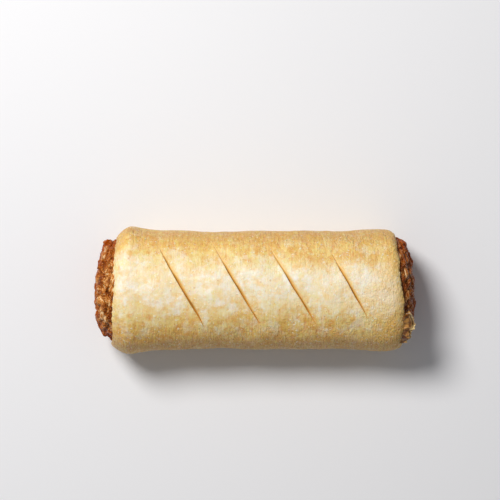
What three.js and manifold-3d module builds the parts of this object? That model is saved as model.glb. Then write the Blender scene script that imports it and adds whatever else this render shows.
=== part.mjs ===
// An unbaked sausage roll: a sheet of puff pastry rolled round a log of coarse sausage meat, with four
// slanting vent slits cut in its top. The meat runs right through and bulges, rough and lumpy, out of both
// open ends. At the right-hand end a ragged tongue of the sheet's inner turn sticks out past the rim.
//
// Millimetres, +Z up. X runs along the roll, -Y is the near side, and the roll lies flat on its base.
// The origin is the middle of the object's box, at its base.
//
// The wall is drawn on a straight tube, where a point is (along, angle, depth below the outer skin), and is
// then moved to the rolled, slightly sagged shape. Angle 0 points to +Y, and a quarter turn is up.

import * as THREE from "three";
import { mergeVertices } from "three/addons/utils/BufferGeometryUtils.js";
import Module from "manifold-3d";

const wasm = await Module();
wasm.setup();

// ---- driving dimensions ----------------------------------------------------------------------------------

const PASTRY_LEFT = -71.9; // the longest point of the left-hand edge
const PASTRY_RIGHT = 73.2; // and of the right-hand edge
const HALF_WIDTH = 29.3; // at the waist
const BELLY_HEIGHT = 19.5; // how high the widest line lies
const CROWN_RISE = 25.5; // from the widest line to the ridge
const SAG_DEPTH = 20.5; // from the widest line to where the base would be if it weren't flat
const FOOT_LEFT = -45; // the roll rests from here
const FOOT_RIGHT = 46; // to here
const FOOT_SLOPE = 0.03; // and lifts a little towards its ends
const WALL = 4.2; // the rolled sheet
const WAIST_AT = 3; // where the roll is slimmest
const END_FLARE = 1.9; // how much wider the roll is near its ends
const FLARE_REACH = 67;
const LEFT_TAPER = 2.6; // how far the roll draws in again at each end
const RIGHT_TAPER = 1.1;
const TAPER_REACH = 12; // and from how far in
const LEFT_LIP = 0.9; // how far the left-hand end stands out where its taper starts

const CROWN_FULLNESS = 2.15; // exponent of the upper half of the section; 2 is an ellipse
const BASE_FULLNESS = 3; // and of the lower half

const RIM_LENGTH = 7.5; // how far in the rounding of an open end begins
const RIM_NOSE = 1.1; // radius of the edge that lies on the meat
const END_BLEND = 26; // how far in from an end its slant has died out

const SLIT_WIDTH = 1.5;
const SLIT_DEPTH = 2.7;
// Each slit by where it crosses the ridge, how far it leans to -X for each mm towards +Y, and its two ends.
const SLITS = [
  { x: -34.6, lean: 0.575, near: -17.9, far: 23.2 },
  { x: -7, lean: 0.59, near: -17.1, far: 22.8 },
  { x: 20.25, lean: 0.6, near: -17.3, far: 23.4 },
  { x: 47.9, lean: 0.549, near: -12.6, far: 21.2 },
];
const SLIT_PITCH = 27.4;
const PUFF = 0.35; // how much the pastry swells between two slits

const LAP_ANGLE = -0.66; // the free edge of the sheet, low on the far side, radians
const LAP_RISE = 0.9; // how far it stands off the turn below
const LAP_RAMP = 0.45; // radians over which the outer turn lifts to that

const MEAT_GAP = 0.45; // between the meat and the inside of the wall
const MEAT_BREADTH = HALF_WIDTH - WALL; // half the log's width
const LEFT_BULGE = 10.2; // how far the meat stands out past the plane of its end, lumps apart
const LEFT_BULGE_FULLNESS = 3.4;
const RIGHT_BULGE = 9;
const RIGHT_BULGE_FULLNESS = 2.5;
const MEAT_LEFT = -68.6; // the planes that the bulges start from
const MEAT_RIGHT = 70.2;
const LEFT_STEP = 1.4; // how much shorter the left-hand bulge is on its far side
const RIGHT_TILT = 0.05; // the right-hand bulge leans back towards +Y
const LUMPS = 105; // lumps over one end
const LUMP_REACH = 0.112; // half a middling lump's breadth, as a share of the end's half width
const LUMP_HEIGHT = 3.1;
const LUMP_RISE = 2.5; // how far past the rim the lumps reach their full height
const LUMP_SINK = 0.6; // how deep the lumps sit in the bulge, as a share of that height
const NEAR_PINCH = 0.07; // how much narrower the bulges are on the near side than the log
const BULGE_STEPS = 15; // from a bulge's middle to the log
const LOG_STEPS = 7;
const END_RINGS = 10; // of those steps, the ones that lie on an end's grid

// The tongue grows from the middle of the wall. Its torn edge is given as angle and length past the rim.
const TONGUE = {
  rootStart: 2.2,
  rootStop: 2.8,
  rootLength: 7,
  outerDepth: 2.1,
  innerDepth: 4.1,
  tipDepth: 2.2,
};
const TORN_EDGE = [
  [2.03, 3.2],
  [2.1, 4.3],
  [2.24, 5.6],
  [2.34, 5],
  [2.42, 3.8],
  [2.5, 4.1],
  [2.58, 3.8],
  [2.65, 3],
  [2.7, 1.6],
  [2.74, 0.2],
];

const TURN = 2 * Math.PI;
const AROUND = 60; // facets round the roll
const TUBE_RADIUS = 30; // of the straight tube that the wall is drawn on

// ---- small functions -------------------------------------------------------------------------------------

const lerp = THREE.MathUtils.lerp;
const clamp = THREE.MathUtils.clamp;

// Goes from 0 to 1 round a middle, over a few times the softness.
function rise(value, middle, softness) {
  return 1 / (1 + Math.exp((middle - value) / softness));
}

// A repeatable number from 0 to 1 for each whole number.
function scatter(index) {
  const s = Math.sin(index * 12.9898 + 4.1) * 43758.5453;
  return s - Math.floor(s);
}

// ---- the roll's shape ------------------------------------------------------------------------------------

// How much wider than at its waist the roll is: it swells towards its ends and draws in just before them.
function flare(x) {
  const swell = END_FLARE * Math.abs((x - WAIST_AT) / FLARE_REACH) ** 3;
  const left = LEFT_TAPER * clamp(1 - (x - PASTRY_LEFT) / TAPER_REACH, 0, 1) ** 1.2;
  const right = RIGHT_TAPER * clamp(1 - (PASTRY_RIGHT - x) / TAPER_REACH, 0, 1) ** 1.2;
  const lip = LEFT_LIP * Math.exp(-(((x - PASTRY_LEFT - 8) / 4) ** 2));
  return swell + lip - left - right;
}

// The soft dents and swellings of hand-rolled dough.
function unevenness(x, angle) {
  const long = 0.3 * Math.sin(0.083 * x + 0.6) * Math.sin(2 * angle + 1);
  const short = 0.16 * Math.sin(0.21 * x + 2 * angle + 2.2);
  const onTop = Math.max(0, Math.sin(angle)) ** 2;
  const alongSlits = x + 0.6 * HALF_WIDTH * Math.cos(angle) - SLITS[0].x;
  const puff = -PUFF * onTop * Math.cos((TURN * alongSlits) / SLIT_PITCH);
  return long + short + puff;
}

// The outer turn of the sheet lifts off the turn below and ends in a step.
function lap(angle) {
  const past = THREE.MathUtils.euclideanModulo(angle - LAP_ANGLE, TURN);
  return past < LAP_RAMP ? LAP_RISE * (1 - past / LAP_RAMP) : 0;
}

// The section's half-axes are taken in by the depth, so the inside of the wall follows the outside. The base is
// drawn in towards the middle line, which keeps the borders of the foot straight.
function section(x, angle, depth) {
  const upper = Math.sin(angle) > 0;
  const fullness = upper ? CROWN_FULLNESS : BASE_FULLNESS;
  const wide = HALF_WIDTH + flare(x) - depth;
  const tall = upper ? CROWN_RISE + 0.5 * flare(x) - depth : SAG_DEPTH - depth;
  const across = Math.abs(Math.cos(angle) / wide) ** fullness;
  const up = Math.abs(Math.sin(angle) / tall) ** fullness;
  const skin = clamp(1 - depth / WALL, 0, 1);
  const full = (across + up) ** (-1 / fullness) + skin * (unevenness(x, angle) + lap(angle));
  const floor = depth + FOOT_SLOPE * Math.max(0, FOOT_LEFT - x, x - FOOT_RIGHT);
  const radius = upper ? full : Math.min(full, (BELLY_HEIGHT - floor) / Math.abs(Math.sin(angle)));
  return { y: radius * Math.cos(angle), z: BELLY_HEIGHT + radius * Math.sin(angle) };
}

// How far the edge of each open end lies short of its longest point.
function leftLag(y) {
  const notch = 0.9 * Math.exp(-(((y + 19) / 5) ** 2));
  return 3.6 * rise(y, -14, 9) + notch;
}

function rightLag(y) {
  return 3.4 * rise(y, 5, 5);
}

// Moves a point of the straight tube to the roll.
function wallPoint(along, angle, depth) {
  const { y, z } = section(along, angle, depth);
  const ripple = 0.22 * Math.sin(5 * angle + 0.4) + 0.16 * Math.sin(9 * angle + 2);
  const nearLeft = clamp(1 - (along - PASTRY_LEFT) / END_BLEND, 0, 1) ** 2;
  const nearRight = clamp(1 - (PASTRY_RIGHT - along) / END_BLEND, 0, 1) ** 2;
  const x = along + nearLeft * (leftLag(y) + ripple) - nearRight * (rightLag(y) + ripple);
  return new THREE.Vector3(x, y, z);
}

// ---- making solids ---------------------------------------------------------------------------------------

// Closes a geometry's seams and poles, so that it is one surface, and moves each of its points.
function closedSurface(geometry, move) {
  geometry.deleteAttribute("normal");
  geometry.deleteAttribute("uv");
  const merged = mergeVertices(geometry, 1e-4);
  const position = merged.attributes.position;
  const point = new THREE.Vector3();
  for (let i = 0; i < position.count; i++) {
    point.fromBufferAttribute(position, i);
    const moved = move(point);
    position.setXYZ(i, moved.x, moved.y, moved.z);
  }
  return merged;
}

function toSolid(geometry) {
  const mesh = new wasm.Mesh({
    numProp: 3,
    vertProperties: new Float32Array(geometry.attributes.position.array),
    triVerts: new Uint32Array(geometry.index.array),
  });
  return new wasm.Manifold(mesh);
}

function toGeometry(solid) {
  const mesh = solid.getMesh();
  const geometry = new THREE.BufferGeometry();
  geometry.setAttribute("position", new THREE.BufferAttribute(mesh.vertProperties, 3));
  geometry.setIndex(new THREE.BufferAttribute(mesh.triVerts, 1));
  geometry.computeVertexNormals();
  return geometry;
}

// A lathe turns its outline round +Y, from +Z. Reads that back as angle, radius and place along the axis.
function latheCoordinates(point) {
  return { angle: Math.atan2(point.x, point.z), radius: Math.hypot(point.x, point.z), along: point.y };
}

// ---- the pastry ------------------------------------------------------------------------------------------

// The wall's own outline, cut along the tube: the skin, a rounded rim, the inside and the other rim.
function wallOutline() {
  const outline = [];
  const skinSteps = 26;
  const rimSteps = 5;
  const insideSteps = 7;
  const skinLeft = PASTRY_LEFT + RIM_LENGTH;
  const skinRight = PASTRY_RIGHT - RIM_LENGTH;
  const point = (along, depth) => outline.push(new THREE.Vector2(TUBE_RADIUS - depth, along));
  for (let i = 0; i <= skinSteps; i++) point(lerp(skinLeft, skinRight, i / skinSteps), 0);
  for (let i = 1; i <= rimSteps; i++) rimPoint(i, PASTRY_RIGHT, 1);
  for (let i = 0; i <= insideSteps; i++) {
    point(lerp(PASTRY_RIGHT - 2 * RIM_NOSE, PASTRY_LEFT + 2 * RIM_NOSE, i / insideSteps), WALL);
  }
  for (let i = rimSteps; i >= 1; i--) rimPoint(i, PASTRY_LEFT, -1);
  outline.push(outline[0].clone());
  return outline;

  // A quarter of a long ellipse from the skin to the nose.
  function rimPoint(step, end, side) {
    const a = (step / rimSteps) * (Math.PI / 2);
    const along = end - side * RIM_LENGTH * (1 - Math.sin(a));
    point(along, (WALL - RIM_NOSE) * (1 - Math.cos(a)));
  }
}

function pastryWall() {
  const lathe = new THREE.LatheGeometry(wallOutline(), AROUND);
  const surface = closedSurface(lathe, (point) => {
    const { angle, radius, along } = latheCoordinates(point);
    return wallPoint(along, angle, TUBE_RADIUS - radius);
  });
  return toSolid(surface);
}

// The angle at which the skin over the ridge lies at this y.
function angleAt(x, y) {
  let low = 0.1;
  let high = Math.PI - 0.1;
  for (let i = 0; i < 40; i++) {
    const middle = (low + high) / 2;
    if (section(x, middle, 0).y > y) low = middle;
    else high = middle;
  }
  return (low + high) / 2;
}

// A wedge that follows the skin. Taken out of the wall it leaves a slit that closes to a point at both ends.
function slitBlade(slit) {
  const steps = 16;
  const box = new THREE.BoxGeometry(1, 1, 1, 1, 1, steps);
  const surface = closedSurface(box, (point) => {
    const t = point.z + 0.5;
    const y = lerp(slit.far, slit.near, t);
    const x = slit.x - slit.lean * y;
    const opening = Math.sqrt(Math.sin(Math.PI * clamp(t, 0.01, 0.99)));
    const bottom = point.y < 0;
    const halfWidth = bottom ? 0.12 : (SLIT_WIDTH * opening) / 2 + 0.3;
    const depth = bottom ? SLIT_DEPTH * opening - 0.25 : -1.2;
    return wallPoint(x + 2 * point.x * halfWidth, angleAt(x, y), depth);
  });
  return toSolid(surface);
}

// The ragged end of the sheet's inner turn, from its root inside the wall to its torn edge.
function tongue() {
  const steps = { round: 26, out: 6 };
  const edge = new THREE.SplineCurve(TORN_EDGE.map(([angle, length]) => new THREE.Vector2(angle, length)));
  const box = new THREE.BoxGeometry(1, 1, 1, steps.round, 1, steps.out);
  const surface = closedSurface(box, (point) => {
    const round = point.x + 0.5;
    const out = point.z + 0.5;
    const tip = edge.getPoint(round);
    const angle = lerp(lerp(TONGUE.rootStart, TONGUE.rootStop, round), tip.x, out);
    const along = lerp(PASTRY_RIGHT - TONGUE.rootLength, PASTRY_RIGHT + tip.y, out);
    const thickness = (TONGUE.innerDepth - TONGUE.outerDepth) * (1 - 0.45 * out);
    const middle = lerp((TONGUE.outerDepth + TONGUE.innerDepth) / 2, TONGUE.tipDepth, out * out);
    const crumple = 0.45 * out * Math.sin(23 * round + 2 * out);
    return wallPoint(along, angle, middle + point.y * thickness + crumple);
  });
  return toSolid(surface);
}

function pastry() {
  let solid = pastryWall();
  for (const slit of SLITS) solid = solid.subtract(slitBlade(slit));
  return solid.add(tongue());
}

// ---- the sausage meat ------------------------------------------------------------------------------------

// Lump centres, spread evenly over a half ball whose pole is the end's middle, each with its own height.
function lumpField(seed) {
  const golden = Math.PI * (3 - Math.sqrt(5));
  const lumps = [];
  for (let i = 0; i < LUMPS; i++) {
    const out = 1 - (i + 0.5) / LUMPS;
    const ring = Math.sqrt(1 - out * out);
    const angle = i * golden + seed;
    const size = lerp(0.7, 1.15, scatter(i + 100 * seed));
    const at = new THREE.Vector3(out, ring * Math.cos(angle), ring * Math.sin(angle));
    lumps.push({ at, size });
  }
  return lumps;
}

const LEFT_LUMPS = lumpField(1);
const RIGHT_LUMPS = lumpField(2);

// Cobbles: each lump is a low round cap, and the highest one at a place wins.
function lumpHeight(lumps, direction) {
  let height = 0;
  for (const { at, size } of lumps) {
    const reach = LUMP_REACH * (0.8 + 0.5 * size);
    const away = at.distanceTo(direction) / reach;
    if (away < 1) height = Math.max(height, size * Math.sqrt(1 - away * away));
  }
  return LUMP_HEIGHT * (height - LUMP_SINK);
}

// From a bulge's middle to where it meets the log: away from the axis, and how far out the bulge stands.
class BulgeOutline extends THREE.Curve {
  constructor(height, fullness) {
    super();
    this.height = height;
    this.fullness = fullness;
  }

  getPoint(t, target = new THREE.Vector2()) {
    const angle = (t * Math.PI) / 2;
    const share = Math.sin(angle) ** (2 / this.fullness);
    const out = Math.max(0, Math.cos(angle)) ** (2 / this.fullness);
    return target.set(share * MEAT_BREADTH, out * this.height);
  }
}

// The outline from the middle of one end to the middle of the other: a blunt bulge, the log, a second bulge.
function meatOutline() {
  const left = new BulgeOutline(LEFT_BULGE, LEFT_BULGE_FULLNESS).getSpacedPoints(BULGE_STEPS);
  const right = new BulgeOutline(RIGHT_BULGE, RIGHT_BULGE_FULLNESS).getSpacedPoints(BULGE_STEPS);
  const outline = [];
  const add = (share, along) => outline.push({ share, along });
  for (const { x, y } of left) add(x / MEAT_BREADTH, MEAT_LEFT - y);
  for (let i = 1; i < LOG_STEPS; i++) add(1, lerp(MEAT_LEFT, MEAT_RIGHT, i / LOG_STEPS));
  for (const { x, y } of right.reverse()) add(x / MEAT_BREADTH, MEAT_RIGHT + y);
  return outline;
}

// The log fills the wall; the bulges carry the lumps, which fade out where the pastry grips the meat.
function meatPoint(along, angle, share) {
  const { y, z } = section(along, angle, WALL + MEAT_GAP);
  const middle = new THREE.Vector3(along, share * y, BELLY_HEIGHT + share * (z - BELLY_HEIGHT));
  const left = along < MEAT_LEFT;
  const right = along > MEAT_RIGHT;
  if (!left && !right) return middle;
  const base = left ? MEAT_LEFT : MEAT_RIGHT;
  const bulge = left ? LEFT_BULGE : RIGHT_BULGE;
  const out = clamp(Math.abs(along - base) / bulge, 0, 1);
  const direction = new THREE.Vector3(out, share * Math.cos(angle), share * Math.sin(angle)).normalize();
  const rim = wallPoint(left ? PASTRY_LEFT : PASTRY_RIGHT, angle, WALL).x;
  const pastRim = clamp((left ? rim - along : along - rim) / LUMP_RISE, 0, 1);
  const height = lumpHeight(left ? LEFT_LUMPS : RIGHT_LUMPS, direction) * pastRim;
  const push = new THREE.Vector3(left ? -direction.x : direction.x, 0.8 * direction.y, 0.8 * direction.z);
  middle.addScaledVector(push, height);
  if (middle.y < 0) middle.y *= 1 - NEAR_PINCH * pastRim;
  middle.x += left ? out * LEFT_STEP * rise(middle.y, 8, 1.5) : -RIGHT_TILT * out * (middle.y + 3);
  return middle;
}

// The angle of a point on a square ring, once the ring is rounded to a circle.
function ringAngle(u, v) {
  if (u === 0 && v === 0) return 0;
  if (Math.abs(u) >= Math.abs(v)) return (Math.PI / 4) * (v / u) + (u < 0 ? Math.PI : 0);
  return Math.PI / 2 - (Math.PI / 4) * (u / v) + (v < 0 ? Math.PI : 0);
}

// A box whose two ends are grids of square rings. Each ring takes one point of the outline, and so does each
// step along the box between them, so that the facets are even and no pole shows.
function meat() {
  const outline = meatOutline();
  const last = outline.length - 1;
  const lengthSteps = last - 2 * END_RINGS;
  const box = new THREE.BoxGeometry(1, 1, 1, lengthSteps, 2 * END_RINGS, 2 * END_RINGS);
  const surface = closedSurface(box, (point) => {
    const ring = Math.round(2 * END_RINGS * Math.max(Math.abs(point.y), Math.abs(point.z)));
    const step = END_RINGS + Math.round((point.x + 0.5) * lengthSteps);
    const onLeftEnd = point.x < -0.499;
    const onRightEnd = point.x > 0.499;
    const place = onLeftEnd ? ring : onRightEnd ? last - ring : step;
    return meatPoint(outline[place].along, ringAngle(point.y, point.z), outline[place].share);
  });
  return toSolid(surface);
}

// ---- the object ------------------------------------------------------------------------------------------

const pastryMaterial = new THREE.MeshStandardMaterial({ color: 0xe9d3a4, roughness: 0.62, metalness: 0 });
const meatMaterial = new THREE.MeshStandardMaterial({ color: 0x9a6038, roughness: 0.42, metalness: 0 });

function namedMesh(name, solid, material) {
  const mesh = new THREE.Mesh(toGeometry(solid), material);
  mesh.name = name;
  return mesh;
}

const roll = new THREE.Group();
roll.add(namedMesh("pastry", pastry(), pastryMaterial));
roll.add(namedMesh("sausage_meat", meat(), meatMaterial));

// Stands the roll with the middle of its box on the origin.
const box = new THREE.Box3().setFromObject(roll);
const middle = box.getCenter(new THREE.Vector3());
roll.position.set(-middle.x, -middle.y, -box.min.z);

export default roll;
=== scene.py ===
# An unbaked sausage roll: puff pastry, slit across its top, rolled round a log of coarse sausage meat.
#
# The meshes are drawn in millimetres, round the point that the roll's middle line passes over, and are scaled to
# metres and slid into the frame when they are finished. X runs along the roll, -Y is its near side, +Z is up.
# The pastry's wall is drawn on a straight tube, where a point is (along, angle, depth below the outer skin), and
# is then moved to the rolled, slightly sagged shape. Angle 0 points to +Y, and a quarter turn is up.

import math
import random

import bmesh
import bpy
from mathutils import Matrix, Vector, kdtree, noise
from mathutils.bvhtree import BVHTree


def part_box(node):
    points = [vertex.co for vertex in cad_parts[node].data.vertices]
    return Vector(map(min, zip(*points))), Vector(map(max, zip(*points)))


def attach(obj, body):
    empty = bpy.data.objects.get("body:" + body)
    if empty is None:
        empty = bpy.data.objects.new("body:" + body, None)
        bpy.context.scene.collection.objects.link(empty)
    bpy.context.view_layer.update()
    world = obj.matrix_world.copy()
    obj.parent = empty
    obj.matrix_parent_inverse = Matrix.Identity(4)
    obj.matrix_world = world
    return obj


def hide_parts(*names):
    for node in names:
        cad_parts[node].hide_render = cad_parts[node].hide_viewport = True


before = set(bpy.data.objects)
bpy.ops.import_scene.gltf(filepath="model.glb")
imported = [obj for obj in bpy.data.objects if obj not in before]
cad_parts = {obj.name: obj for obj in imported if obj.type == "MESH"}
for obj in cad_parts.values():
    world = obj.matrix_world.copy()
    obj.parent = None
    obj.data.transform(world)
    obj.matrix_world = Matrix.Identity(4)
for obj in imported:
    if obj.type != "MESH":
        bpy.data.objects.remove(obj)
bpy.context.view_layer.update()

# ---- driving dimensions, in millimetres --------------------------------------------------------------------

MM = 0.001
TURN = 2 * math.pi

PASTRY_LEFT = -71.9
PASTRY_RIGHT = 73.2
HALF_WIDTH = 29.3
BELLY_HEIGHT = 19.5
CROWN_RISE = 25.5
SAG_DEPTH = 20.5
WALL = 4.2
WAIST_AT = 3
END_FLARE = 1.9
FLARE_REACH = 67
LEFT_TAPER = 2.6
RIGHT_TAPER = 1.1
TAPER_REACH = 12
LEFT_LIP = 0.9
CROWN_FULLNESS = 2.15
BASE_FULLNESS = 3

RIM_LENGTH = 7.5
RIM_NOSE = 1.1
END_BLEND = 26
TUBE_RADIUS = 30

SLIT_WIDTH = 1.5
SLIT_DEPTH = 2.7
SLIT_STEPS = 44
BLADE_BOTTOM = (-0.3, -0.14)  # the left and right side of a blade at its bottom, in slit widths from its middle
BLADE_TOP = (-0.5, 1.5)  # and above the skin
BLADE_RISE = 1.2  # how far a blade stands out of the skin
# Each slit by where it crosses the ridge, how far it leans to -X for each mm towards +Y, and its two ends.
SLITS = [
    {"x": -34.6, "lean": 0.575, "near": -17.9, "far": 23.2},
    {"x": -7, "lean": 0.59, "near": -17.1, "far": 22.8},
    {"x": 20.25, "lean": 0.6, "near": -17.3, "far": 23.4},
    {"x": 47.9, "lean": 0.549, "near": -12.6, "far": 21.2},
]
SLIT_PITCH = 27.4
PUFF = 0.35

LAP_ANGLE = -0.66
LAP_RISE = 0.9
LAP_RAMP = 0.45

MEAT_GAP = 0.45
LEFT_BULGE = 10.2
LEFT_BULGE_FULLNESS = 3.4
RIGHT_BULGE = 9
RIGHT_BULGE_FULLNESS = 2.5
MEAT_LEFT = -68.6
MEAT_RIGHT = 70.2
LEFT_STEP = 1.4
RIGHT_TILT = 0.05
LUMPS = 105
LUMP_REACH = 0.112
LUMP_HEIGHT = 3.1
LUMP_RISE = 2.5
LUMP_SINK = 0.6
NEAR_PINCH = 0.07
LUMP_FLOOR = 0.2  # how deep the gaps between lumps go, as a share of a lump's height

TONGUE_ROOT = (2.2, 2.8)  # the angles between which the torn tongue grows from the wall
TONGUE_ROOT_LENGTH = 7
TORN_EDGE = [
    (2.03, 3.2),
    (2.1, 4.3),
    (2.24, 5.6),
    (2.34, 5),
    (2.42, 3.8),
    (2.5, 4.1),
    (2.58, 3.8),
    (2.65, 3),
    (2.7, 1.6),
    (2.74, 0.2),
]


# ---- small functions ---------------------------------------------------------------------------------------


def clamp(value, low=0.0, high=1.0):
    return max(low, min(high, value))


def lerp(a, b, share):
    return a + (b - a) * share


def rise(value, middle, softness):
    """Goes from 0 to 1 round a middle, over a few times the softness."""
    return 1 / (1 + math.exp((middle - value) / softness))


def bell(value, middle, width):
    return math.exp(-(((value - middle) / width) ** 2))


def scatter(index):
    """A repeatable number from 0 to 1 for each whole number."""
    s = math.sin(index * 12.9898 + 4.1) * 43758.5453
    return s - math.floor(s)


def tube_place(along, angle, spacing):
    """Where a point of the straight tube lies, counted in spacings, as a place to read noise at."""
    radius = TUBE_RADIUS / spacing
    return Vector((along / spacing, radius * math.cos(angle), radius * math.sin(angle)))


# ---- the roll's shape --------------------------------------------------------------------------------------


def flare(x):
    """How much wider than at its waist the roll is: it swells towards its ends and draws in just before them."""
    swell = END_FLARE * abs((x - WAIST_AT) / FLARE_REACH) ** 3
    left = LEFT_TAPER * clamp(1 - (x - PASTRY_LEFT) / TAPER_REACH) ** 1.2
    right = RIGHT_TAPER * clamp(1 - (PASTRY_RIGHT - x) / TAPER_REACH) ** 1.2
    lip = LEFT_LIP * bell(x, PASTRY_LEFT + 8, 4)
    return swell + lip - left - right


def unevenness(x, angle):
    """The soft dents and swellings of hand-rolled dough."""
    long = 0.3 * math.sin(0.083 * x + 0.6) * math.sin(2 * angle + 1)
    short = 0.16 * math.sin(0.21 * x + 2 * angle + 2.2)
    on_top = max(0, math.sin(angle)) ** 2
    along_slits = x + 0.6 * HALF_WIDTH * math.cos(angle) - SLITS[0]["x"]
    puff = -PUFF * on_top * math.cos(TURN * along_slits / SLIT_PITCH)
    return long + short + puff


def lap(angle):
    """The outer turn of the sheet lifts off the turn below and ends in a step."""
    past = (angle - LAP_ANGLE) % TURN
    return LAP_RISE * (1 - past / LAP_RAMP) if past < LAP_RAMP else 0


def dimples(x, angle):
    """The small relief of floury dough."""
    broad = 0.34 * noise.noise(tube_place(x, angle, 11))
    small = 0.16 * noise.noise(tube_place(x, angle, 4.3))
    fine = 0.07 * noise.noise(tube_place(x, angle, 1.9))
    return broad + small + fine


def section(x, angle, depth):
    """(y, z) of the wall's or the log's section at this depth below the outer skin."""
    upper = math.sin(angle) > 0
    fullness = CROWN_FULLNESS if upper else BASE_FULLNESS
    wide = HALF_WIDTH + flare(x) - depth
    tall = CROWN_RISE + 0.5 * flare(x) - depth if upper else SAG_DEPTH - depth
    across = abs(math.cos(angle) / wide) ** fullness
    up = abs(math.sin(angle) / tall) ** fullness
    skin = clamp(1 - depth / WALL)
    radius = (across + up) ** (-1 / fullness) + skin * (unevenness(x, angle) + lap(angle))
    return radius * math.cos(angle), max(BELLY_HEIGHT + radius * math.sin(angle), depth)


def left_lag(y):
    """How far the edge of the left end lies short of its longest point."""
    return 3.6 * rise(y, -14, 9) + 0.9 * bell(y, -19, 5)


def right_lag(y):
    return 3.4 * rise(y, 5, 5)


def wall_point(along, angle, depth):
    """Moves a point of the straight tube to the roll."""
    y, z = section(along, angle, depth)
    ripple = 0.22 * math.sin(5 * angle + 0.4) + 0.16 * math.sin(9 * angle + 2)
    near_left = clamp(1 - (along - PASTRY_LEFT) / END_BLEND) ** 2
    near_right = clamp(1 - (PASTRY_RIGHT - along) / END_BLEND) ** 2
    x = along + near_left * (left_lag(y) + ripple) - near_right * (right_lag(y) + ripple)
    return Vector((x, y, z))


# ---- making meshes -----------------------------------------------------------------------------------------


def new_object(name, mesh_in_progress, finishes=1):
    """An object with an empty slot for each finish, so that its faces keep their slot when it is joined or cut."""
    mesh = bpy.data.meshes.new(name)
    mesh_in_progress.to_mesh(mesh)
    mesh_in_progress.free()
    for _ in range(finishes):
        mesh.materials.append(None)
    made = bpy.data.objects.new(name, mesh)
    bpy.context.scene.collection.objects.link(made)
    return made


def turn_round(mesh_in_progress, parts, steps):
    """Turns an outline once round the X axis."""
    bmesh.ops.spin(
        mesh_in_progress,
        geom=parts,
        cent=(0, 0, 0),
        axis=(1, 0, 0),
        dvec=(0, 0, 0),
        angle=TURN,
        steps=steps,
        use_merge=True,
        use_duplicate=False,
    )


def smooth_once(mesh_in_progress):
    bmesh.ops.smooth_vert(
        mesh_in_progress,
        verts=mesh_in_progress.verts,
        factor=0.5,
        use_axis_x=True,
        use_axis_y=True,
        use_axis_z=True,
    )


def apply_modifiers(piece):
    bpy.context.view_layer.objects.active = piece
    for modifier in list(piece.modifiers):
        bpy.ops.object.modifier_apply(modifier=modifier.name)


def combine(piece, other, operation):
    """Joins or cuts by another mesh, which is used up."""
    modifier = piece.modifiers.new("combine", "BOOLEAN")
    modifier.operation = operation
    modifier.solver = "MANIFOLD"
    modifier.object = other
    apply_modifiers(piece)
    bpy.data.objects.remove(other)


def keep_numbers(piece, name, values):
    """Stores a number for each of a piece's points, for its material to read."""
    attribute = piece.data.attributes.new(name, "FLOAT", "POINT")
    attribute.data.foreach_set("value", values)


# ---- the pastry --------------------------------------------------------------------------------------------

SKIN_STEPS = 240
RIM_STEPS = 18
NOSE_STEPS = 4
INSIDE_STEPS = 22
ROUND_STEPS = 260
TOP_SHARE = 0.35  # how much closer together the steps lie on top than in the mean


def wall_outline():
    """(along, depth) of the wall's cut edge: the skin, a rounded rim, the inside and the other rim."""

    def rim(end, side):
        for i in range(1, RIM_STEPS + 1):
            a = (i / RIM_STEPS) ** 1.2 * math.pi / 2
            yield end - side * RIM_LENGTH * (1 - math.sin(a)), (WALL - RIM_NOSE) * (1 - math.cos(a))
        for i in range(1, NOSE_STEPS + 1):
            a = i / NOSE_STEPS * math.pi / 2
            yield end - side * 2 * RIM_NOSE * (1 - math.cos(a)), WALL - RIM_NOSE * (1 - math.sin(a))

    outline = []
    for i in range(SKIN_STEPS + 1):
        along = lerp(PASTRY_LEFT + RIM_LENGTH, PASTRY_RIGHT - RIM_LENGTH, i / SKIN_STEPS)
        outline.append((along, 0))
    outline += rim(PASTRY_RIGHT, 1)
    for i in range(1, INSIDE_STEPS):
        along = lerp(PASTRY_RIGHT - 2 * RIM_NOSE, PASTRY_LEFT + 2 * RIM_NOSE, i / INSIDE_STEPS)
        outline.append((along, WALL))
    outline += reversed(list(rim(PASTRY_LEFT, -1)))
    return outline


def beside_slits(x, y):
    """(how open, how far to the right of its middle line) of the slit that lies nearest, or None."""
    for slit in SLITS:
        t = (y - slit["near"]) / (slit["far"] - slit["near"])
        aside = (x - slit["x"] + slit["lean"] * y) / math.hypot(1, slit["lean"])
        if 0 < t < 1 and abs(aside) < 4:
            return math.sqrt(math.sin(math.pi * t)), aside
    return None


def beside_slit(place):
    """1 at the right-hand edge of a slit, fading out over the next millimetre of the skin."""
    beside = beside_slits(place.x, place.y) if place.z > BELLY_HEIGHT else None
    if not beside or beside[1] < 0:
        return 0
    opening, aside = beside
    return opening * bell(aside, opening * SLIT_WIDTH / 2, 0.7)


def slit_lip(x, y):
    """Each cut has pushed up a thin lip on its left, and the dough bends down into it on its right."""
    beside = beside_slits(x, y)
    if not beside:
        return 0
    opening, aside = beside
    edge = opening * SLIT_WIDTH / 2
    if aside < 0:
        return 0.26 * opening * bell(aside, -edge - 0.45, 0.55)
    return -0.42 * opening * bell(aside, 0, edge + 0.9)


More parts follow.
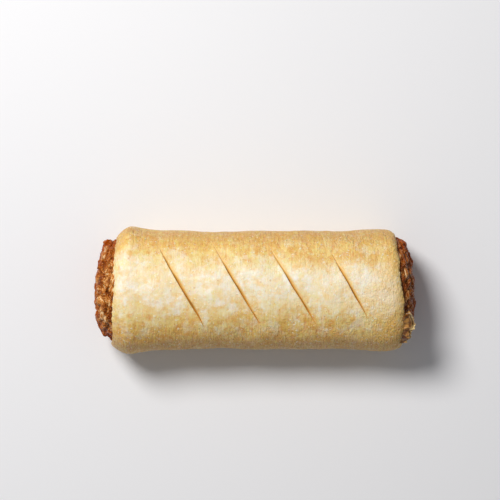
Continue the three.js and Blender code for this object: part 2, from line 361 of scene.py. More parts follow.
def skinned_point(along, angle, depth):
    """A point of the wall with the fine relief of its skin and the layers that show in its rims."""
    point = wall_point(along, angle, depth)
    outward = Vector((0, math.cos(angle), math.sin(angle)))
    on_skin = clamp(1 - depth / 2.2)
    lift = on_skin * dimples(along, angle)
    if depth == 0 and math.sin(angle) > 0.3:
        lift += slit_lip(point.x, point.y)
    if point.z < 1.5:
        lift = min(lift, 0) * clamp(point.z)
    point += lift * outward
    end = clamp(1 - min(along - PASTRY_LEFT, PASTRY_RIGHT - along) / 3)
    if end > 0:
        side = 1 if along > 0 else -1
        layers = 0.16 * math.sin(TURN * depth / 0.75 + 3 * noise.noise(tube_place(0, angle, 7)))
        ragged = 0.55 * noise.noise(tube_place(40 * side, angle, 3.1))
        ragged += 0.3 * noise.noise(tube_place(90 * side + 2 * depth, angle, 1.3))
        inner = clamp(depth / 1.5)
        point.x += side * end * (layers * inner + ragged)
    return point


def wall_mesh():
    wall = bmesh.new()
    outline = wall_outline()
    corners = [wall.verts.new((along, TUBE_RADIUS - depth, 0)) for along, depth in outline]
    edges = [wall.edges.new((a, b)) for a, b in zip(corners, corners[1:] + corners[:1])]
    turn_round(wall, corners + edges, ROUND_STEPS)
    for vert in wall.verts:
        angle = math.atan2(vert.co.z, vert.co.y)
        angle += TOP_SHARE * math.cos(angle)
        depth = TUBE_RADIUS - math.hypot(vert.co.y, vert.co.z)
        vert.co = skinned_point(vert.co.x, angle, max(0, round(depth, 4)))
    bmesh.ops.recalc_face_normals(wall, faces=wall.faces)
    return wall


def angle_at(x, y):
    """The angle at which the skin over the ridge lies at this y."""
    low, high = 0.1, math.pi - 0.1
    for _ in range(30):
        middle = (low + high) / 2
        if section(x, middle, 0)[0] > y:
            low = middle
        else:
            high = middle
    return (low + high) / 2


def slit_blades():
    """Wedges that follow the skin. Taken out of the wall they leave slits that close to a point at both ends."""
    blades = bmesh.new()
    for number, slit in enumerate(SLITS):
        earlier = len(blades.verts)
        made = bmesh.ops.create_cube(blades, size=1)
        edges = {e for v in made["verts"] for e in v.link_edges}
        long_edges = [e for e in edges if abs(e.verts[0].co.z - e.verts[1].co.z) > 0.5]
        bmesh.ops.subdivide_edges(blades, edges=long_edges, cuts=SLIT_STEPS, use_grid_fill=True)
        for vert in list(blades.verts)[earlier:]:
            t = vert.co.z + 0.5
            y = lerp(slit["far"], slit["near"], t)
            wander = 0.07 * math.sin(0.45 * y + 2 * number)
            x = slit["x"] - slit["lean"] * y + wander
            opening = math.sqrt(math.sin(math.pi * clamp(t, 0.01, 0.99)))
            opening *= 1 + 0.1 * math.sin(0.5 * y + 3 * number)
            bottom = vert.co.y < 0
            left, right = BLADE_BOTTOM if bottom else BLADE_TOP
            aside = SLIT_WIDTH * opening * (left if vert.co.x < 0 else right)
            depth = SLIT_DEPTH * opening - 0.25 if bottom else -BLADE_RISE
            vert.co = wall_point(x + aside, angle_at(x, y), depth)
    for face in blades.faces:
        face.material_index = 1
    return new_object("blades", blades, 3)


def torn_edge(share):
    """(angle, length past the rim) of the tongue's torn edge, smoothly between its points."""
    place = share * (len(TORN_EDGE) - 1)
    at = min(int(place), len(TORN_EDGE) - 2)
    t = place - at

    def given(i):
        return Vector(TORN_EDGE[max(0, min(len(TORN_EDGE) - 1, i))])

    a, b, c, d = (given(at + i) for i in (-1, 0, 1, 2))
    return 0.5 * (2 * b + (c - a) * t + (2 * a - 5 * b + 4 * c - d) * t**2 + (3 * b - a - 3 * c + d) * t**3)


# The leaves of the tongue, from the outside in: the depths of root and tip, and the share of the full length.
LEAVES = [
    {"root": 2.9, "tip": 2.1, "reach": 0.75},
    {"root": 3.3, "tip": 2.8, "reach": 1.0},
    {"root": 3.8, "tip": 4.1, "reach": 0.9},
]
LEAF_THICKNESS = 1.8
LEAF_THINNING = 0.4  # how much of that is gone at the torn edge, as a share
LEAF_STEPS = (90, 22)  # round the roll and along it
CRUMPLE = 2
CREASE = 0.4
TEARS = (1.5, 1.1)  # how deep the broad and the narrow tears are


def leaf(number, root, tip, reach):
    """One thin, crumpled leaf of the sheet's inner turn, from its root inside the wall to its torn edge."""
    sheet = bmesh.new()
    bmesh.ops.create_cube(sheet, size=1)
    for axis, cuts in zip((0, 2), LEAF_STEPS):
        edges = [e for e in sheet.edges if abs(e.verts[0].co[axis] - e.verts[1].co[axis]) > 0.5]
        bmesh.ops.subdivide_edges(sheet, edges=edges, cuts=cuts, use_grid_fill=True)
    for vert in sheet.verts:
        share = vert.co.x + 0.5
        out = vert.co.z + 0.5
        tip_angle, tip_length = torn_edge(share)
        broad = TEARS[0] * abs(noise.noise(Vector((13 * share, number, 1))))
        narrow = TEARS[1] * abs(noise.noise(Vector((38 * share, number, 2))))
        torn = broad + narrow
        length = max(reach * tip_length - torn, -1)
        angle = lerp(lerp(*TONGUE_ROOT, share), tip_angle, out)
        along = lerp(PASTRY_RIGHT - TONGUE_ROOT_LENGTH, PASTRY_RIGHT + length, out)
        crumple = CRUMPLE * noise.noise(Vector((7 * share + 1.5 * out, 1.6 * out, 3 * number)))
        creases = CREASE * noise.noise(Vector((18 * share + 3 * out, 2 * out, 5 * number)))
        thickness = LEAF_THICKNESS * (1 - LEAF_THINNING * out)
        depth = lerp(root, tip, out * out) + vert.co.y * thickness + out * (crumple + creases)
        vert.co = wall_point(along, angle, max(0.1, depth))
    for face in sheet.faces:
        face.material_index = 2
    # The faces still point inward after this, so the union leaves some doubled triangles in the tongue.
    bmesh.ops.recalc_face_normals(sheet, faces=sheet.faces)
    return new_object("leaf", sheet, 3)


def past_rim(place):
    """How far a point of the tongue lies on the way from the rim to the torn edge, from 0 to 1."""
    angle = math.atan2(place.z - BELLY_HEIGHT, place.y) % TURN
    share = (angle - TORN_EDGE[0][0]) / (TORN_EDGE[-1][0] - TORN_EDGE[0][0])
    if not 0 < share < 1:
        return 0
    rim = wall_point(PASTRY_RIGHT, angle, WALL).x
    return clamp((place.x - rim) / max(1, torn_edge(share)[1]))


def pastry():
    wall = wall_mesh()
    uncut = BVHTree.FromBMesh(wall)
    piece = new_object("pastry_sheet", wall, 3)
    combine(piece, slit_blades(), "DIFFERENCE")
    for number, shape in enumerate(LEAVES):
        combine(piece, leaf(number, **shape), "UNION")
    depths = [uncut.find_nearest(v.co)[3] for v in piece.data.vertices]
    keep_numbers(piece, "depth", depths)
    keep_numbers(piece, "beside_slit", [beside_slit(v.co) for v in piece.data.vertices])
    keep_numbers(piece, "past_rim", [past_rim(v.co) for v in piece.data.vertices])
    return piece


# ---- the sausage meat --------------------------------------------------------------------------------------

GRAINS = 620  # at one end
GRAIN_RADIUS = (0.4, 1.05)
GRAIN_STRETCH = (1.4, 3)
FIBRE = (2.6, 0.8, 0.8)  # the length and the breadths of a fibre of the meat
FIBRE_HEIGHT = 0.34
MEAT_VOXEL = 0.36
CAP_INSIDE = 3  # how far the modelled end reaches into the pastry
CAP_DEPTH = 7  # how far the inner half of an end reaches, before it is cut off at CAP_INSIDE
CAP_FULLNESS = 6
NEAR_LUMPS = 6  # how many lumps are tried at each place
LOG_STEPS = 14
LOG_ROUND_STEPS = 60
LOG_SHARE = 0.96  # the width of the hidden middle, as a share of the hollow's
CREVICE_ROUNDS = 10  # how often the meat is smoothed to find its crevices
HOLLOW_ROUNDS = 50  # and the hollows between its lumps
GOLDEN_ANGLE = math.pi * (3 - math.sqrt(5))


def spiral(out, index, seed):
    """The direction of one of many evenly spread points, this far out of the roll."""
    ring = math.sqrt(1 - out * out)
    angle = index * GOLDEN_ANGLE + seed
    return Vector((out, ring * math.cos(angle), ring * math.sin(angle)))


def lump_field(seed):
    """Lump centres, spread evenly over a half ball whose pole is the end's middle, each with its own height."""
    lumps = []
    for i in range(LUMPS):
        size = lerp(0.7, 1.15, scatter(i + 100 * seed))
        lumps.append((spiral(1 - (i + 0.5) / LUMPS, i, seed), size))
    return lumps


class MeatEnd:
    """One bulging end of the log. A direction's x points out of the roll."""

    def __init__(self, side, base, bulge, fullness, seed):
        self.side = side
        self.base = base
        self.bulge = bulge
        self.fullness = fullness
        self.seed = seed
        self.lumps = lump_field(seed)
        self.near = kdtree.KDTree(LUMPS)
        for i, (at, _) in enumerate(self.lumps):
            self.near.insert(at, i)
        self.near.balance()
        draw = random.Random(seed + 10)
        self.lies = []
        for (out, y, z), _ in self.lumps:
            along = Vector((side * out, y, z)).cross(Vector([draw.gauss(0, 1) for _ in range(3)]))
            self.lies.append(along.to_track_quat("X", "Z"))

    def lump_height(self, direction):
        """Cobbles: each lump is a low round cap, and the highest one at a place wins."""
        height = LUMP_FLOOR
        for _, i, distance in self.near.find_n(direction, NEAR_LUMPS):
            size = self.lumps[i][1]
            away = distance / (LUMP_REACH * (0.8 + 0.5 * size))
            if away < 1:
                height = max(height, size * math.sqrt(1 - away * away))
        return LUMP_HEIGHT * (height - LUMP_SINK)

    def point(self, direction, sunk=0.0):
        """(place, way out) on the lumpy end for a direction from the middle of the end."""
        out, y, z = direction
        ring = math.hypot(y, z)
        fullness = self.fullness if out > 0 else CAP_FULLNESS
        size = (ring**fullness + abs(out) ** fullness) ** (-1 / fullness)
        share = size * ring
        away = size * out
        x = self.base + self.side * away * (self.bulge if out > 0 else CAP_DEPTH)
        y_edge, z_edge = section(x, math.atan2(z, y), WALL + MEAT_GAP)
        place = Vector((x, share * y_edge, BELLY_HEIGHT + share * (z_edge - BELLY_HEIGHT)))
        way_out = Vector((self.side * out, 0.8 * y, 0.8 * z))
        if out > 0:
            rim = wall_point(PASTRY_LEFT if self.side < 0 else PASTRY_RIGHT, math.atan2(z, y), WALL).x
            free = clamp(self.side * (x - rim) / LUMP_RISE)
            place += way_out * self.lump_height(direction.normalized()) * free
            if place.y < 0:
                place.y *= 1 - NEAR_PINCH * free
            if self.side < 0:
                place.x += LEFT_STEP * away * rise(place.y, 8, 1.5)
            else:
                place.x -= RIGHT_TILT * away * (place.y + 3)
        return place - way_out.normalized() * sunk, way_out.normalized()

    def fibre_place(self, place):
        """(the lump that a point belongs to, where it lies along and across that lump's fibres, in fibres)."""
        out = max(0, self.side * (place.x - self.base) / self.bulge)
        direction = Vector((out, place.y / HALF_WIDTH, (place.z - BELLY_HEIGHT) / CROWN_RISE)).normalized()
        lump = self.near.find(direction)[1]
        turned = self.lies[lump].inverted() @ place
        return lump, Vector([turned[i] / FIBRE[i] + 7.3 * lump for i in range(3)])


MEAT_ENDS = {
    "left": MeatEnd(-1, MEAT_LEFT, LEFT_BULGE, LEFT_BULGE_FULLNESS, 1),
    "right": MeatEnd(1, MEAT_RIGHT, RIGHT_BULGE, RIGHT_BULGE_FULLNESS, 2),
}


def add_grains(core, shapes):
    """Adds one ball of few sides for each shape, all of them in one go."""
    ball = bmesh.new()
    bmesh.ops.create_icosphere(ball, subdivisions=2, radius=1)
    corners = [vert.co.copy() for vert in ball.verts]
    faces = [[vert.index for vert in face.verts] for face in ball.faces]
    ball.free()
    many = bpy.data.meshes.new("grains")
    points = [shape @ corner for shape in shapes for corner in corners]
    sides = [[i + n * len(corners) for i in face] for n in range(len(shapes)) for face in faces]
    many.from_pydata(points, [], sides)
    core.from_mesh(many)
    bpy.data.meshes.remove(many)


def meat_cap(end):
    """The end as one skin fused from lumps and grains of mince, each lump with its own lie of fibres."""
    draw = random.Random(end.seed)
    core = bmesh.new()
    bmesh.ops.create_icosphere(core, subdivisions=5, radius=1)
    for vert in core.verts:
        vert.co = end.point(vert.co.normalized())[0]
    shapes = []
    for i in range(GRAINS):
        direction = spiral(1 - 1.12 * (i + 0.5) / GRAINS, i, end.seed)
        direction += 0.03 * Vector([draw.uniform(-1, 1) for _ in range(3)])
        direction.normalize()
        radius = lerp(*GRAIN_RADIUS, draw.random() ** 2)
        place, way_out = end.point(direction, sunk=draw.uniform(0.55, 1.05) * radius)
        lump = end.near.find(direction)[1]
        lying = end.lies[lump] @ Vector((1, 0, 0)) + 0.35 * Vector([draw.gauss(0, 1) for _ in range(3)])
        lying = (lying - 0.8 * lying.dot(way_out) * way_out).normalized()
        stretch = draw.uniform(*GRAIN_STRETCH)
        turn = lying.to_track_quat("X", "Z").to_matrix().to_4x4()
        size = Matrix.Diagonal((stretch * radius, radius, draw.uniform(0.75, 1) * radius, 1))
        shapes.append(Matrix.Translation(place) @ turn @ size)
    add_grains(core, shapes)
    piece = new_object("meat_cap", core)
    remesh = piece.modifiers.new("fuse", "REMESH")
    remesh.mode = "VOXEL"
    remesh.voxel_size = MEAT_VOXEL
    apply_modifiers(piece)

    fused = bmesh.new()
    fused.from_mesh(piece.data)
    smooth_once(fused)
    fused.normal_update()
    heights = []
    for vert in fused.verts:
        fibres = 1 - 2 * abs(noise.noise(end.fibre_place(vert.co)[1]))
        grain = 0.3 * noise.noise(vert.co / 2.2)
        swell = 0.9 * noise.noise(vert.co / 6)
        heights.append(FIBRE_HEIGHT * (fibres - 0.5) + grain + swell)
    for vert, height in zip(fused.verts, heights):
        vert.co += height * vert.normal
    edge = end.base - end.side * CAP_INSIDE
    bmesh.ops.bisect_plane(
        fused,
        geom=fused.verts[:] + fused.edges[:] + fused.faces[:],
        plane_co=(edge, 0, 0),
        plane_no=(-end.side, 0, 0),
        clear_outer=True,
    )
    rim = [e for e in fused.edges if e.is_boundary]
    bmesh.ops.edgeloop_fill(fused, edges=rim)
    bmesh.ops.recalc_face_normals(fused, faces=fused.faces)
    bpy.data.objects.remove(piece)
    return new_object("meat_cap", fused)


def meat_log():
    """The plain middle of the meat, which the pastry hides."""
    log = bmesh.new()
    left, right = MEAT_LEFT + CAP_INSIDE - 1, MEAT_RIGHT - CAP_INSIDE + 1
    sides = [(lerp(left, right, i / LOG_STEPS), 1) for i in range(LOG_STEPS + 1)]
    outline = [(left, 0), *sides, (right, 0)]
    corners = [log.verts.new((x, share, 0)) for x, share in outline]
    edges = [log.edges.new(pair) for pair in zip(corners, corners[1:])]
    turn_round(log, corners + edges, LOG_ROUND_STEPS)
    bmesh.ops.remove_doubles(log, verts=log.verts, dist=1e-5)
    for vert in log.verts:
        share = LOG_SHARE * math.hypot(vert.co.y, vert.co.z)
        y, z = section(vert.co.x, math.atan2(vert.co.z, vert.co.y), WALL + MEAT_GAP)
        vert.co = Vector((vert.co.x, share * y, BELLY_HEIGHT + share * (z - BELLY_HEIGHT)))
    bmesh.ops.recalc_face_normals(log, faces=log.faces)
    return new_object("sausage_meat_mince", log)


def crevices(piece, rounds):
    """How far each point stands above the surface smoothed round it, in millimetres; below it is a crevice."""
    smooth = bmesh.new()
    smooth.from_mesh(piece.data)
    for _ in range(rounds):
        smooth_once(smooth)
    smooth.verts.ensure_lookup_table()
    heights = [(v.co - smooth.verts[v.index].co).dot(v.normal) for v in piece.data.vertices]
    smooth.free()
    return heights


def sausage_meat():
    piece = meat_log()
    for end in MEAT_ENDS.values():
        combine(piece, meat_cap(end), "UNION")
    tints = []
    fibres = []
    for vert in piece.data.vertices:
        end = MEAT_ENDS["left" if vert.co.x < 0 else "right"]
        lump, place = end.fibre_place(vert.co)
        tints.append(scatter(lump + 50 * end.seed))
        fibres.extend(place)
    keep_numbers(piece, "lump_tint", tints)
    keep_numbers(piece, "crevice", crevices(piece, CREVICE_ROUNDS))
    keep_numbers(piece, "hollow", crevices(piece, HOLLOW_ROUNDS))
    piece.data.attributes.new("fibres", "FLOAT_VECTOR", "POINT").data.foreach_set("vector", fibres)
    return piece


# ---- finishes ----------------------------------------------------------------------------------------------


def tone(red, green, blue):
    """A colour as it is read off a screen, from 0 to 255, for a shader."""

    def straight(value):
        value /= 255
        return value / 12.92 if value <= 0.04045 else ((value + 0.055) / 1.055) ** 2.4

    return (straight(red), straight(green), straight(blue), 1)


class Finish:
    """A node material that is being put together. Patterns lie on Object coordinates, in millimetres."""

    def __init__(self, name):
        self.material = bpy.data.materials.new(name)
        self.material.use_nodes = True
        self.tree = self.material.node_tree
        self.shader = self.tree.nodes["Principled BSDF"]
        self.place = self.node("ShaderNodeVectorMath", operation="SCALE")
        self.place.inputs["Scale"].default_value = 1 / MM
        coordinates = self.node("ShaderNodeTexCoord")
        self.join(coordinates.outputs["Object"], self.place.inputs[0])

    def node(self, kind, **settings):
        made = self.tree.nodes.new(kind)
        for name, value in settings.items():
            setattr(made, name, value)
        return made

    def join(self, source, socket):
        self.tree.links.new(source, socket)

    def fixed(self, **values):
        """Sets the shader's own sockets, by their names in lower case."""
        for name, value in values.items():
            socket = next(s for s in self.shader.inputs if s.name.lower().replace(" ", "_") == name)
            socket.default_value = value

    def stretched(self, across, away=0.0):
        """The coordinates with each axis multiplied, so that a pattern is drawn out along the smallest."""
        mapping = self.node("ShaderNodeMapping")
        mapping.inputs["Scale"].default_value = across
        mapping.inputs["Location"].default_value = (away, away, away)
        self.join(self.place.outputs[0], mapping.inputs["Vector"])
        return mapping.outputs[0]

    def noise(self, size, detail=2.0, roughness=0.5, across=(1, 1, 1), away=0.0, places=None):
        """Cloudy noise from 0 to 1 whose patches are about so many millimetres, read so far away."""
        made = self.node("ShaderNodeTexNoise", noise_dimensions="4D")
        made.inputs["W"].default_value = away
        made.inputs["Scale"].default_value = 1 / size
        made.inputs["Detail"].default_value = detail
        made.inputs["Roughness"].default_value = roughness
        self.join(places or self.stretched(across), made.inputs["Vector"])
        return made.outputs["Fac"]

    def flecks(self, size, share, radius, away=0.0):
        """Round flecks from 0 to 1, one in so many cells: a share of them, each of its own size up to the radius."""
        made = self.node("ShaderNodeTexVoronoi")
        made.inputs["Scale"].default_value = 1 / size
        self.join(self.stretched((1, 1, 1), away), made.inputs["Vector"])
        split = self.node("ShaderNodeSeparateColor")
        self.join(made.outputs["Color"], split.inputs[0])
        reach = self.spread(split.outputs["Red"], 1 - share, 1, 0.2 * radius / size, radius / size)
        inside = self.calculate("SUBTRACT", reach, made.outputs["Distance"])
        return self.spread(inside, 0, 0.4 * radius / size, soft=True)

    def number(self, name):
        return self.node("ShaderNodeAttribute", attribute_name=name).outputs["Fac"]

    def places(self, name):
        return self.node("ShaderNodeAttribute", attribute_name=name).outputs["Vector"]

    def along_axis(self, axis):
        """The place along X, Y or Z, in millimetres."""
        split = self.node("ShaderNodeSeparateXYZ")
        self.join(self.place.outputs[0], split.inputs[0])
        return split.outputs[axis]

    def spread(self, value, low, high, to_low=0.0, to_high=1.0, soft=False):
        """Maps low..high to 0..1 or to the two given numbers, held at the ends."""
        curve = "SMOOTHSTEP" if soft else "LINEAR"
        made = self.node("ShaderNodeMapRange", clamp=True, interpolation_type=curve)
        made.inputs["From Min"].default_value = low
        made.inputs["From Max"].default_value = high
        made.inputs["To Min"].default_value = to_low
        made.inputs["To Max"].default_value = to_high
        self.join(value, made.inputs["Value"])
        return made.outputs["Result"]

    def calculate(self, operation, a, b):
        """One operation on two values, each a socket or a number."""
        made = self.node("ShaderNodeMath", operation=operation)
        for socket, value in zip(made.inputs, (a, b)):
            if isinstance(value, (int, float)):
                socket.default_value = value
            else:
                self.join(value, socket)
        return made.outputs[0]

    def times(self, a, b):
        return self.calculate("MULTIPLY", a, b)

    def clouds(self, size, detail, roughness, low, high, away=0.0):
        """Patches of noise with soft edges: 0 where the noise is under the first number, 1 over the second."""
        return self.spread(self.noise(size, detail, roughness, away=away), low, high, soft=True)

    def ramp(self, value, *stops):
        made = self.node("ShaderNodeValToRGB")
        band = made.color_ramp
        while len(band.elements) < len(stops):
            band.elements.new(0.5)
        for element, (position, colour) in zip(band.elements, stops):
            element.position = position
            element.color = colour
        self.join(value, made.inputs["Fac"])
        return made.outputs["Color"]

    def mix(self, share, a, b, blend="MIX"):
        """Mixes two colours by a share from 0 to 1, each a socket or a fixed colour."""
        made = self.node("ShaderNodeMix", data_type="RGBA", blend_type=blend)
        for index, value in ((0, share), (6, a), (7, b)):
            if isinstance(value, (int, float, tuple)):
                made.inputs[index].default_value = value
            else:
                self.join(value, made.inputs[index])
        return made.outputs[2]

    def colour(self, value):
        self.join(value, self.shader.inputs["Base Color"])

    def roughness(self, value):
        self.join(value, self.shader.inputs["Roughness"])

    def bump(self, *layers):
        """Each layer is a height from 0 to 1 and how many millimetres that stands for."""
        normal = None
        for height, depth in layers:
            made = self.node("ShaderNodeBump")
            made.inputs["Distance"].default_value = depth * MM
            made.inputs["Strength"].default_value = 1
            self.join(height, made.inputs["Height"])
            if normal:
                self.join(normal, made.inputs["Normal"])
            normal = made.outputs["Normal"]
        self.join(normal, self.shader.inputs["Normal"])


# Painted light: the crown's palest line is set off the middle towards +Y, where the light falls most.
PALEST_AT = 6  # the y at which the crown is palest, in millimetres


def dough_skin():
    """Raw puff pastry: cream, turning golden down the flanks partly as painted shade, with golden patches, floury
    specks, painted glints of fat and streaks round the girth.
    """
    skin = Finish("raw_pastry_skin")
    height = skin.along_axis("Z")
    # The colour ramp runs on the height, pulled down away from the palest line, so the flanks and the near side turn
    # golden and darker: partly the dough's own colour, partly painted shade.
    off_crown = skin.calculate("ABSOLUTE", skin.calculate("SUBTRACT", skin.along_axis("Y"), PALEST_AT), 0)
    crown = skin.calculate("SUBTRACT", height, skin.times(off_crown, 0.12))
    colour = skin.ramp(
        skin.spread(crown, 46, 12),
        (0.044, tone(244, 240, 226)),
        (0.079, tone(244, 232, 196)),
        (0.132, tone(238, 220, 160)),
        (0.212, tone(247, 225, 156)),
        (0.318, tone(245, 208, 126)),
        (0.491, tone(217, 171, 94)),
        (0.676, tone(212, 169, 102)),
        (0.83, tone(232, 194, 130)),
        (1, tone(240, 208, 148)),
    )
    # Down the flanks the patches take darker golden tones: partly the dough's own colour, partly painted shade.
    flank = skin.spread(crown, 44.8, 40)
    broad = skin.clouds(17, 2, 0.5, 0.4, 0.6, away=40)
    broad_tone = skin.mix(flank, tone(244, 222, 176), tone(222, 178, 96))
    colour = skin.mix(skin.times(broad, 0.45), colour, broad_tone)
    patches = skin.clouds(8, 3, 0.55, 0.42, 0.62)
    patches = skin.times(patches, skin.spread(flank, 0, 1, 0.6, 0.85))
    side = skin.spread(height, 27, 20, 1, 0.6)
    patches = skin.times(patches, side)
    colour = skin.mix(patches, colour, skin.mix(flank, tone(244, 216, 160), tone(226, 178, 86)))
    small = skin.clouds(3.4, 3, 0.6, 0.46, 0.68, away=3)
    small = skin.times(small, skin.times(side, skin.spread(flank, 0, 1, 0.5, 0.8)))
    colour = skin.mix(small, colour, skin.mix(flank, tone(244, 198, 114), tone(221, 164, 76)))
    pale = skin.clouds(5, 3, 0.6, 0.46, 0.7, away=7)
    pale = skin.times(pale, skin.spread(crown, 32, 44.2, 0.12, 0.72))
    colour = skin.mix(pale, colour, tone(248, 244, 236))
    pink = skin.clouds(2.3, 2, 0.6, 0.5, 0.72, away=11)
    colour = skin.mix(skin.times(pink, 0.4), colour, tone(246, 206, 168))
    lemon = skin.clouds(2.8, 2, 0.6, 0.5, 0.72, away=15)
    colour = skin.mix(skin.times(lemon, 0.4), colour, tone(236, 222, 142))
    # Painted shade: the right end is tinted darker and more golden, as it lies away from the light.
    right_end_shade = skin.spread(skin.along_axis("X"), 50, 72, 0, 0.6)
    colour = skin.mix(right_end_shade, colour, tone(240, 196, 112))
    beside = skin.times(skin.number("beside_slit"), 0.75)
    colour = skin.mix(beside, colour, tone(238, 196, 118))
    streaks = skin.noise(0.8, 2, 0.6, across=(1, 0.14, 0.14), away=19)
    speckle = skin.noise(0.6, 2, 0.7, away=23)
    streaked = skin.spread(streaks, 0.3, 0.7, -0.5, 0.5)
    speckled = skin.spread(speckle, 0.3, 0.7, -0.5, 0.5)
    fine = skin.spread(skin.calculate("ADD", streaked, speckled), -0.8, 0.8)
    fine_tone = skin.ramp(fine, (0, tone(150, 130, 104)), (1, tone(226, 222, 214)))
    colour = skin.mix(skin.spread(flank, 0, 1, 0.28, 0.56), colour, fine_tone, "OVERLAY")
    # Pale specks: partly floury specks, partly painted glints, which are painted highlights; stronger higher up.
    specks = skin.clouds(1.1, 2, 0.6, 0.6, 0.68, away=60)
    specks = skin.times(specks, skin.spread(height, 20, 36, 0.25, 0.7))
    colour = skin.mix(specks, colour, tone(254, 246, 224))
    crumbs = skin.flecks(2.3, 0.25, 0.8, away=50)
    colour = skin.mix(skin.times(crumbs, 0.4), colour, tone(206, 146, 66))
    skin.colour(colour)
    skin.roughness(skin.spread(skin.noise(2.6, 3, 0.6), 0.35, 0.68, 0.34, 0.62))
    rough_flank = skin.spread(height, 45.2, 35, 0.5, 2.3)
    rough_flank = skin.calculate("ADD", rough_flank, skin.spread(skin.along_axis("X"), 30, 70, 0, 1))
    skin.bump(
        (skin.times(skin.noise(2.2, 3, 0.6, away=31), rough_flank), 0.34),
        (skin.times(skin.noise(1.1, 2, 0.6, away=35), rough_flank), 0.26),
        (skin.times(skin.calculate("ADD", streaks, speckle), rough_flank), 0.26),
        (specks, 0.1),
    )
    skin.fixed(
        subsurface_weight=0.12,
        subsurface_radius=(1, 0.55, 0.25),
        subsurface_scale=0.0016,
        specular_ior_level=0.5,
    )
    return skin.material


def slit_inside():
    """The cut faces of a slit: moist amber dough, with painted shade that darkens it towards the bottom."""
    cut = Finish("slit_amber_dough")
    colour = cut.ramp(
        cut.spread(cut.number("depth"), 0.0, 2.0),
        (0, tone(250, 228, 176)),
        (0.3, tone(240, 202, 126)),
        (0.65, tone(216, 164, 64)),
        (1, tone(168, 112, 20)),
    )
    grain = cut.spread(cut.noise(0.8, 2, 0.6), 0.35, 0.7)
    colour = cut.mix(cut.times(grain, 0.25), colour, tone(224, 176, 84))
    cut.colour(colour)
    cut.bump((cut.noise(0.7, 2, 0.5), 0.12))
    cut.fixed(roughness=0.5, subsurface_weight=0.2, subsurface_radius=(1, 0.5, 0.2), subsurface_scale=0.002)
    return cut.material


def torn_dough():
    """The tongue: thin, moist leaves, browner in patches, partly from soaking up the meat and partly painted shade,
    pale at their torn edges.
    """
    torn = Finish("torn_moist_dough")
    # Browner patches: partly from the meat's juice, partly painted shade of the end that lies away from the light.
    soaked_and_shaded = torn.clouds(3.2, 3, 0.6, 0.36, 0.6)
    colour = torn.mix(soaked_and_shaded, tone(186, 132, 64), tone(94, 50, 14))
    past_root = torn.number("past_rim")
    frayed = torn.spread(torn.noise(1.6, 2, 0.6), 0.35, 0.6)
    edge = torn.times(torn.spread(past_root, 0.55, 1), frayed)
    colour = torn.mix(edge, colour, tone(244, 214, 150))
    torn.colour(colour)
    torn.bump((torn.noise(0.9, 3, 0.6), 0.25), (torn.noise(0.7, 2, 0.5, across=(0.25, 1, 1)), 0.2))
    torn.fixed(roughness=0.32, subsurface_weight=0.12, subsurface_radius=(1, 0.5, 0.2), subsurface_scale=0.0012)
    return torn.material


def mince():
    """Moist coarse mince: orange-browns that differ from lump to lump, paler fibres that are partly painted glints,
    and fat; its crevices, hollows, lower part and right end are darkened by painted shade.
    """
    meat = Finish("moist_mince")
    fibres = meat.noise(0.8, 2, 0.65, places=meat.places("fibres"))
    by_lump = meat.spread(meat.number("lump_tint"), 0, 1, 0, 0.55)
    # The fibres lift the colour towards the pale top of the ramp: partly paler fibres, partly painted glints.
    by_fibre_and_glint = meat.spread(fibres, 0.3, 0.7, -0.35, 0.6)
    by_patch = meat.spread(meat.noise(5, 3, 0.6), 0.35, 0.65, -0.3, 0.5)
    tint = meat.calculate("ADD", meat.calculate("ADD", by_lump, by_fibre_and_glint), by_patch)
    colour = meat.ramp(
        tint,
        (0.0, tone(104, 42, 4)),
        (0.3, tone(158, 78, 14)),
        (0.6, tone(196, 118, 40)),
        (0.85, tone(230, 164, 92)),
        (1.0, tone(252, 216, 164)),
    )
    fat = meat.flecks(2.3, 0.35, 0.6)
    colour = meat.mix(meat.times(fat, 0.5), colour, tone(248, 218, 164))
    height = meat.along_axis("Z")
    # Lower down the meat is painted redder and darker: partly its own redder colour, partly painted shade.
    low = meat.times(meat.spread(height, 40, 28), meat.spread(height, 8, 20, 0.2, 0.75))
    colour = meat.mix(low, colour, tone(162, 66, 4))
    # Painted shade: the right end is darkened, more so higher up, as it lies away from the light.
    right_half = meat.spread(meat.along_axis("X"), -10, 10)
    right = meat.times(right_half, meat.spread(height, 20, 34, 0, 0.35))
    colour = meat.mix(right, colour, tone(104, 40, 6))
    # Painted shade: the crevices are darkened.
    crevice = meat.spread(meat.number("crevice"), 0.05, -0.3, soft=True)
    colour = meat.mix(meat.times(crevice, 0.5), colour, tone(96, 38, 4))
    # Painted shade: the hollows between lumps are darkened, more so higher up.
    hollow = meat.spread(meat.number("hollow"), 0, -1, soft=True)
    hollow_shade = meat.times(hollow, meat.spread(height, 20, 36, 0.4, 0.7))
    colour = meat.mix(hollow_shade, colour, tone(84, 30, 3))
    meat.colour(colour)
    wet = meat.spread(meat.noise(1.1, 2, 0.6), 0.35, 0.7, 0.14, 0.36)
    meat.roughness(meat.calculate("ADD", wet, meat.times(hollow, 0.5)))
    meat.bump((fibres, 0.75), (meat.noise(0.5, 3, 0.6), 0.12))
    meat.join(meat.spread(height, 26, 40, 0.04, 0.5), meat.shader.inputs["Specular IOR Level"])
    meat.fixed(
        subsurface_weight=0.04,
        subsurface_radius=(1, 0.35, 0.2),
        subsurface_scale=0.001,
        specular_tint=(1, 0.78, 0.5, 1),
    )
    return meat.material


# ---- the room ----------------------------------------------------------------------------------------------


def floor():
    sheet = bmesh.new()
    bmesh.ops.create_grid(sheet, x_segments=1, y_segments=1, size=2)
    made = new_object("studio_floor", sheet)
    paint = Finish("pale_floor")
    paint.colour(paint.mix(paint.noise(300, 1), tone(236, 236, 239), tone(240, 240, 243)))
    paint.fixed(roughness=0.85)
    made.data.materials[0] = paint.material


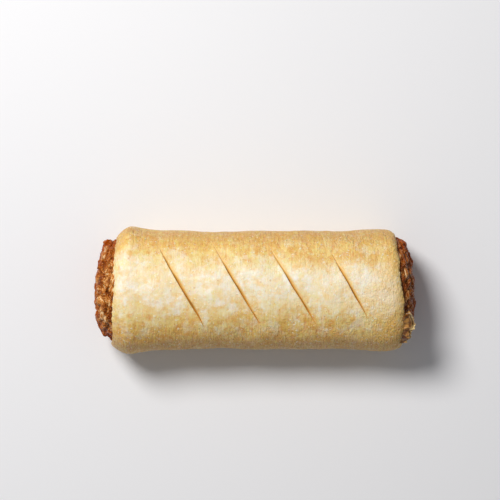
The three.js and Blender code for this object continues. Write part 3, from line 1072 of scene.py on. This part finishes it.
def soft_light(name, place, target, size, power, colour=(1, 1, 1)):
    light = bpy.data.lights.new(name, "AREA")
    light.shape = "DISK"
    light.size = size
    light.energy = power
    light.color = colour
    lamp = bpy.data.objects.new(name, light)
    bpy.context.scene.collection.objects.link(lamp)
    lamp.location = place
    lamp.rotation_euler = (Vector(place) - Vector(target)).to_track_quat("Z", "Y").to_euler()


def room():
    floor()
    soft_light("key", (-0.42, 0.5, 0.88), (0, 0, 0.03), 0.42, 11, (1, 0.985, 0.96))
    soft_light("fill", (-0.35, -0.8, 0.8), (0, 0, 0.03), 0.8, 0.5)
    world = bpy.data.worlds.new("soft_room")
    world.use_nodes = True
    world.node_tree.nodes["Background"].inputs["Color"].default_value = (0.95, 0.97, 1, 1)
    world.node_tree.nodes["Background"].inputs["Strength"].default_value = 0.2
    bpy.context.scene.world = world


PHOTO_SIDE = 500  # pixels
PHOTO_SCALE = 0.5  # millimetres in a pixel, at the height of the roll's widest line
PHOTO_MIDDLE = (-2.25, 20)  # the x and y under the photograph's middle
PHOTO_LENS = 135
SENSOR = 36


def camera(slide):
    """Looks straight down, with the photograph's middle over the far side of the roll."""
    middle = Vector((*PHOTO_MIDDLE, BELLY_HEIGHT)) + slide
    distance = PHOTO_SIDE * PHOTO_SCALE * PHOTO_LENS / SENSOR
    data = bpy.data.cameras.new("photo_camera")
    data.lens = PHOTO_LENS
    data.sensor_width = SENSOR
    data.clip_start = 0.05
    made = bpy.data.objects.new("photo_camera", data)
    bpy.context.scene.collection.objects.link(made)
    made.location = (middle + Vector((0, 0, distance))) * MM
    bpy.context.scene.camera = made


# ---- putting it together -----------------------------------------------------------------------------------

SHARP_ANGLE = 48  # degrees


def slide_to_frame():
    """How far the drawing lies from the frame, in millimetres: the pastry's node begins at its left-hand edge."""
    edge = min(wall_point(PASTRY_LEFT, math.radians(angle), WALL - RIM_NOSE).x for angle in range(360))
    return Vector((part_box("pastry")[0].x / MM - edge, 0, 0))


def settle(piece, slide, node, *finishes):
    """Scales a finished piece to metres, puts it where its node is, and gives it its finishes."""
    piece.data.transform(Matrix.Scale(MM, 4) @ Matrix.Translation(slide))
    for index, finish in enumerate(finishes):
        piece.data.materials[index] = finish
    piece.data.shade_smooth()
    piece.data.set_sharp_from_angle(angle=math.radians(SHARP_ANGLE))
    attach(piece, "root")
    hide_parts(node)


sheet = pastry()
meat = sausage_meat()
slide = slide_to_frame()
settle(sheet, slide, "pastry", dough_skin(), slit_inside(), torn_dough())
settle(meat, slide, "sausage_meat", mince())
room()
camera(slide)
bpy.context.scene.view_settings.view_transform = "Standard"
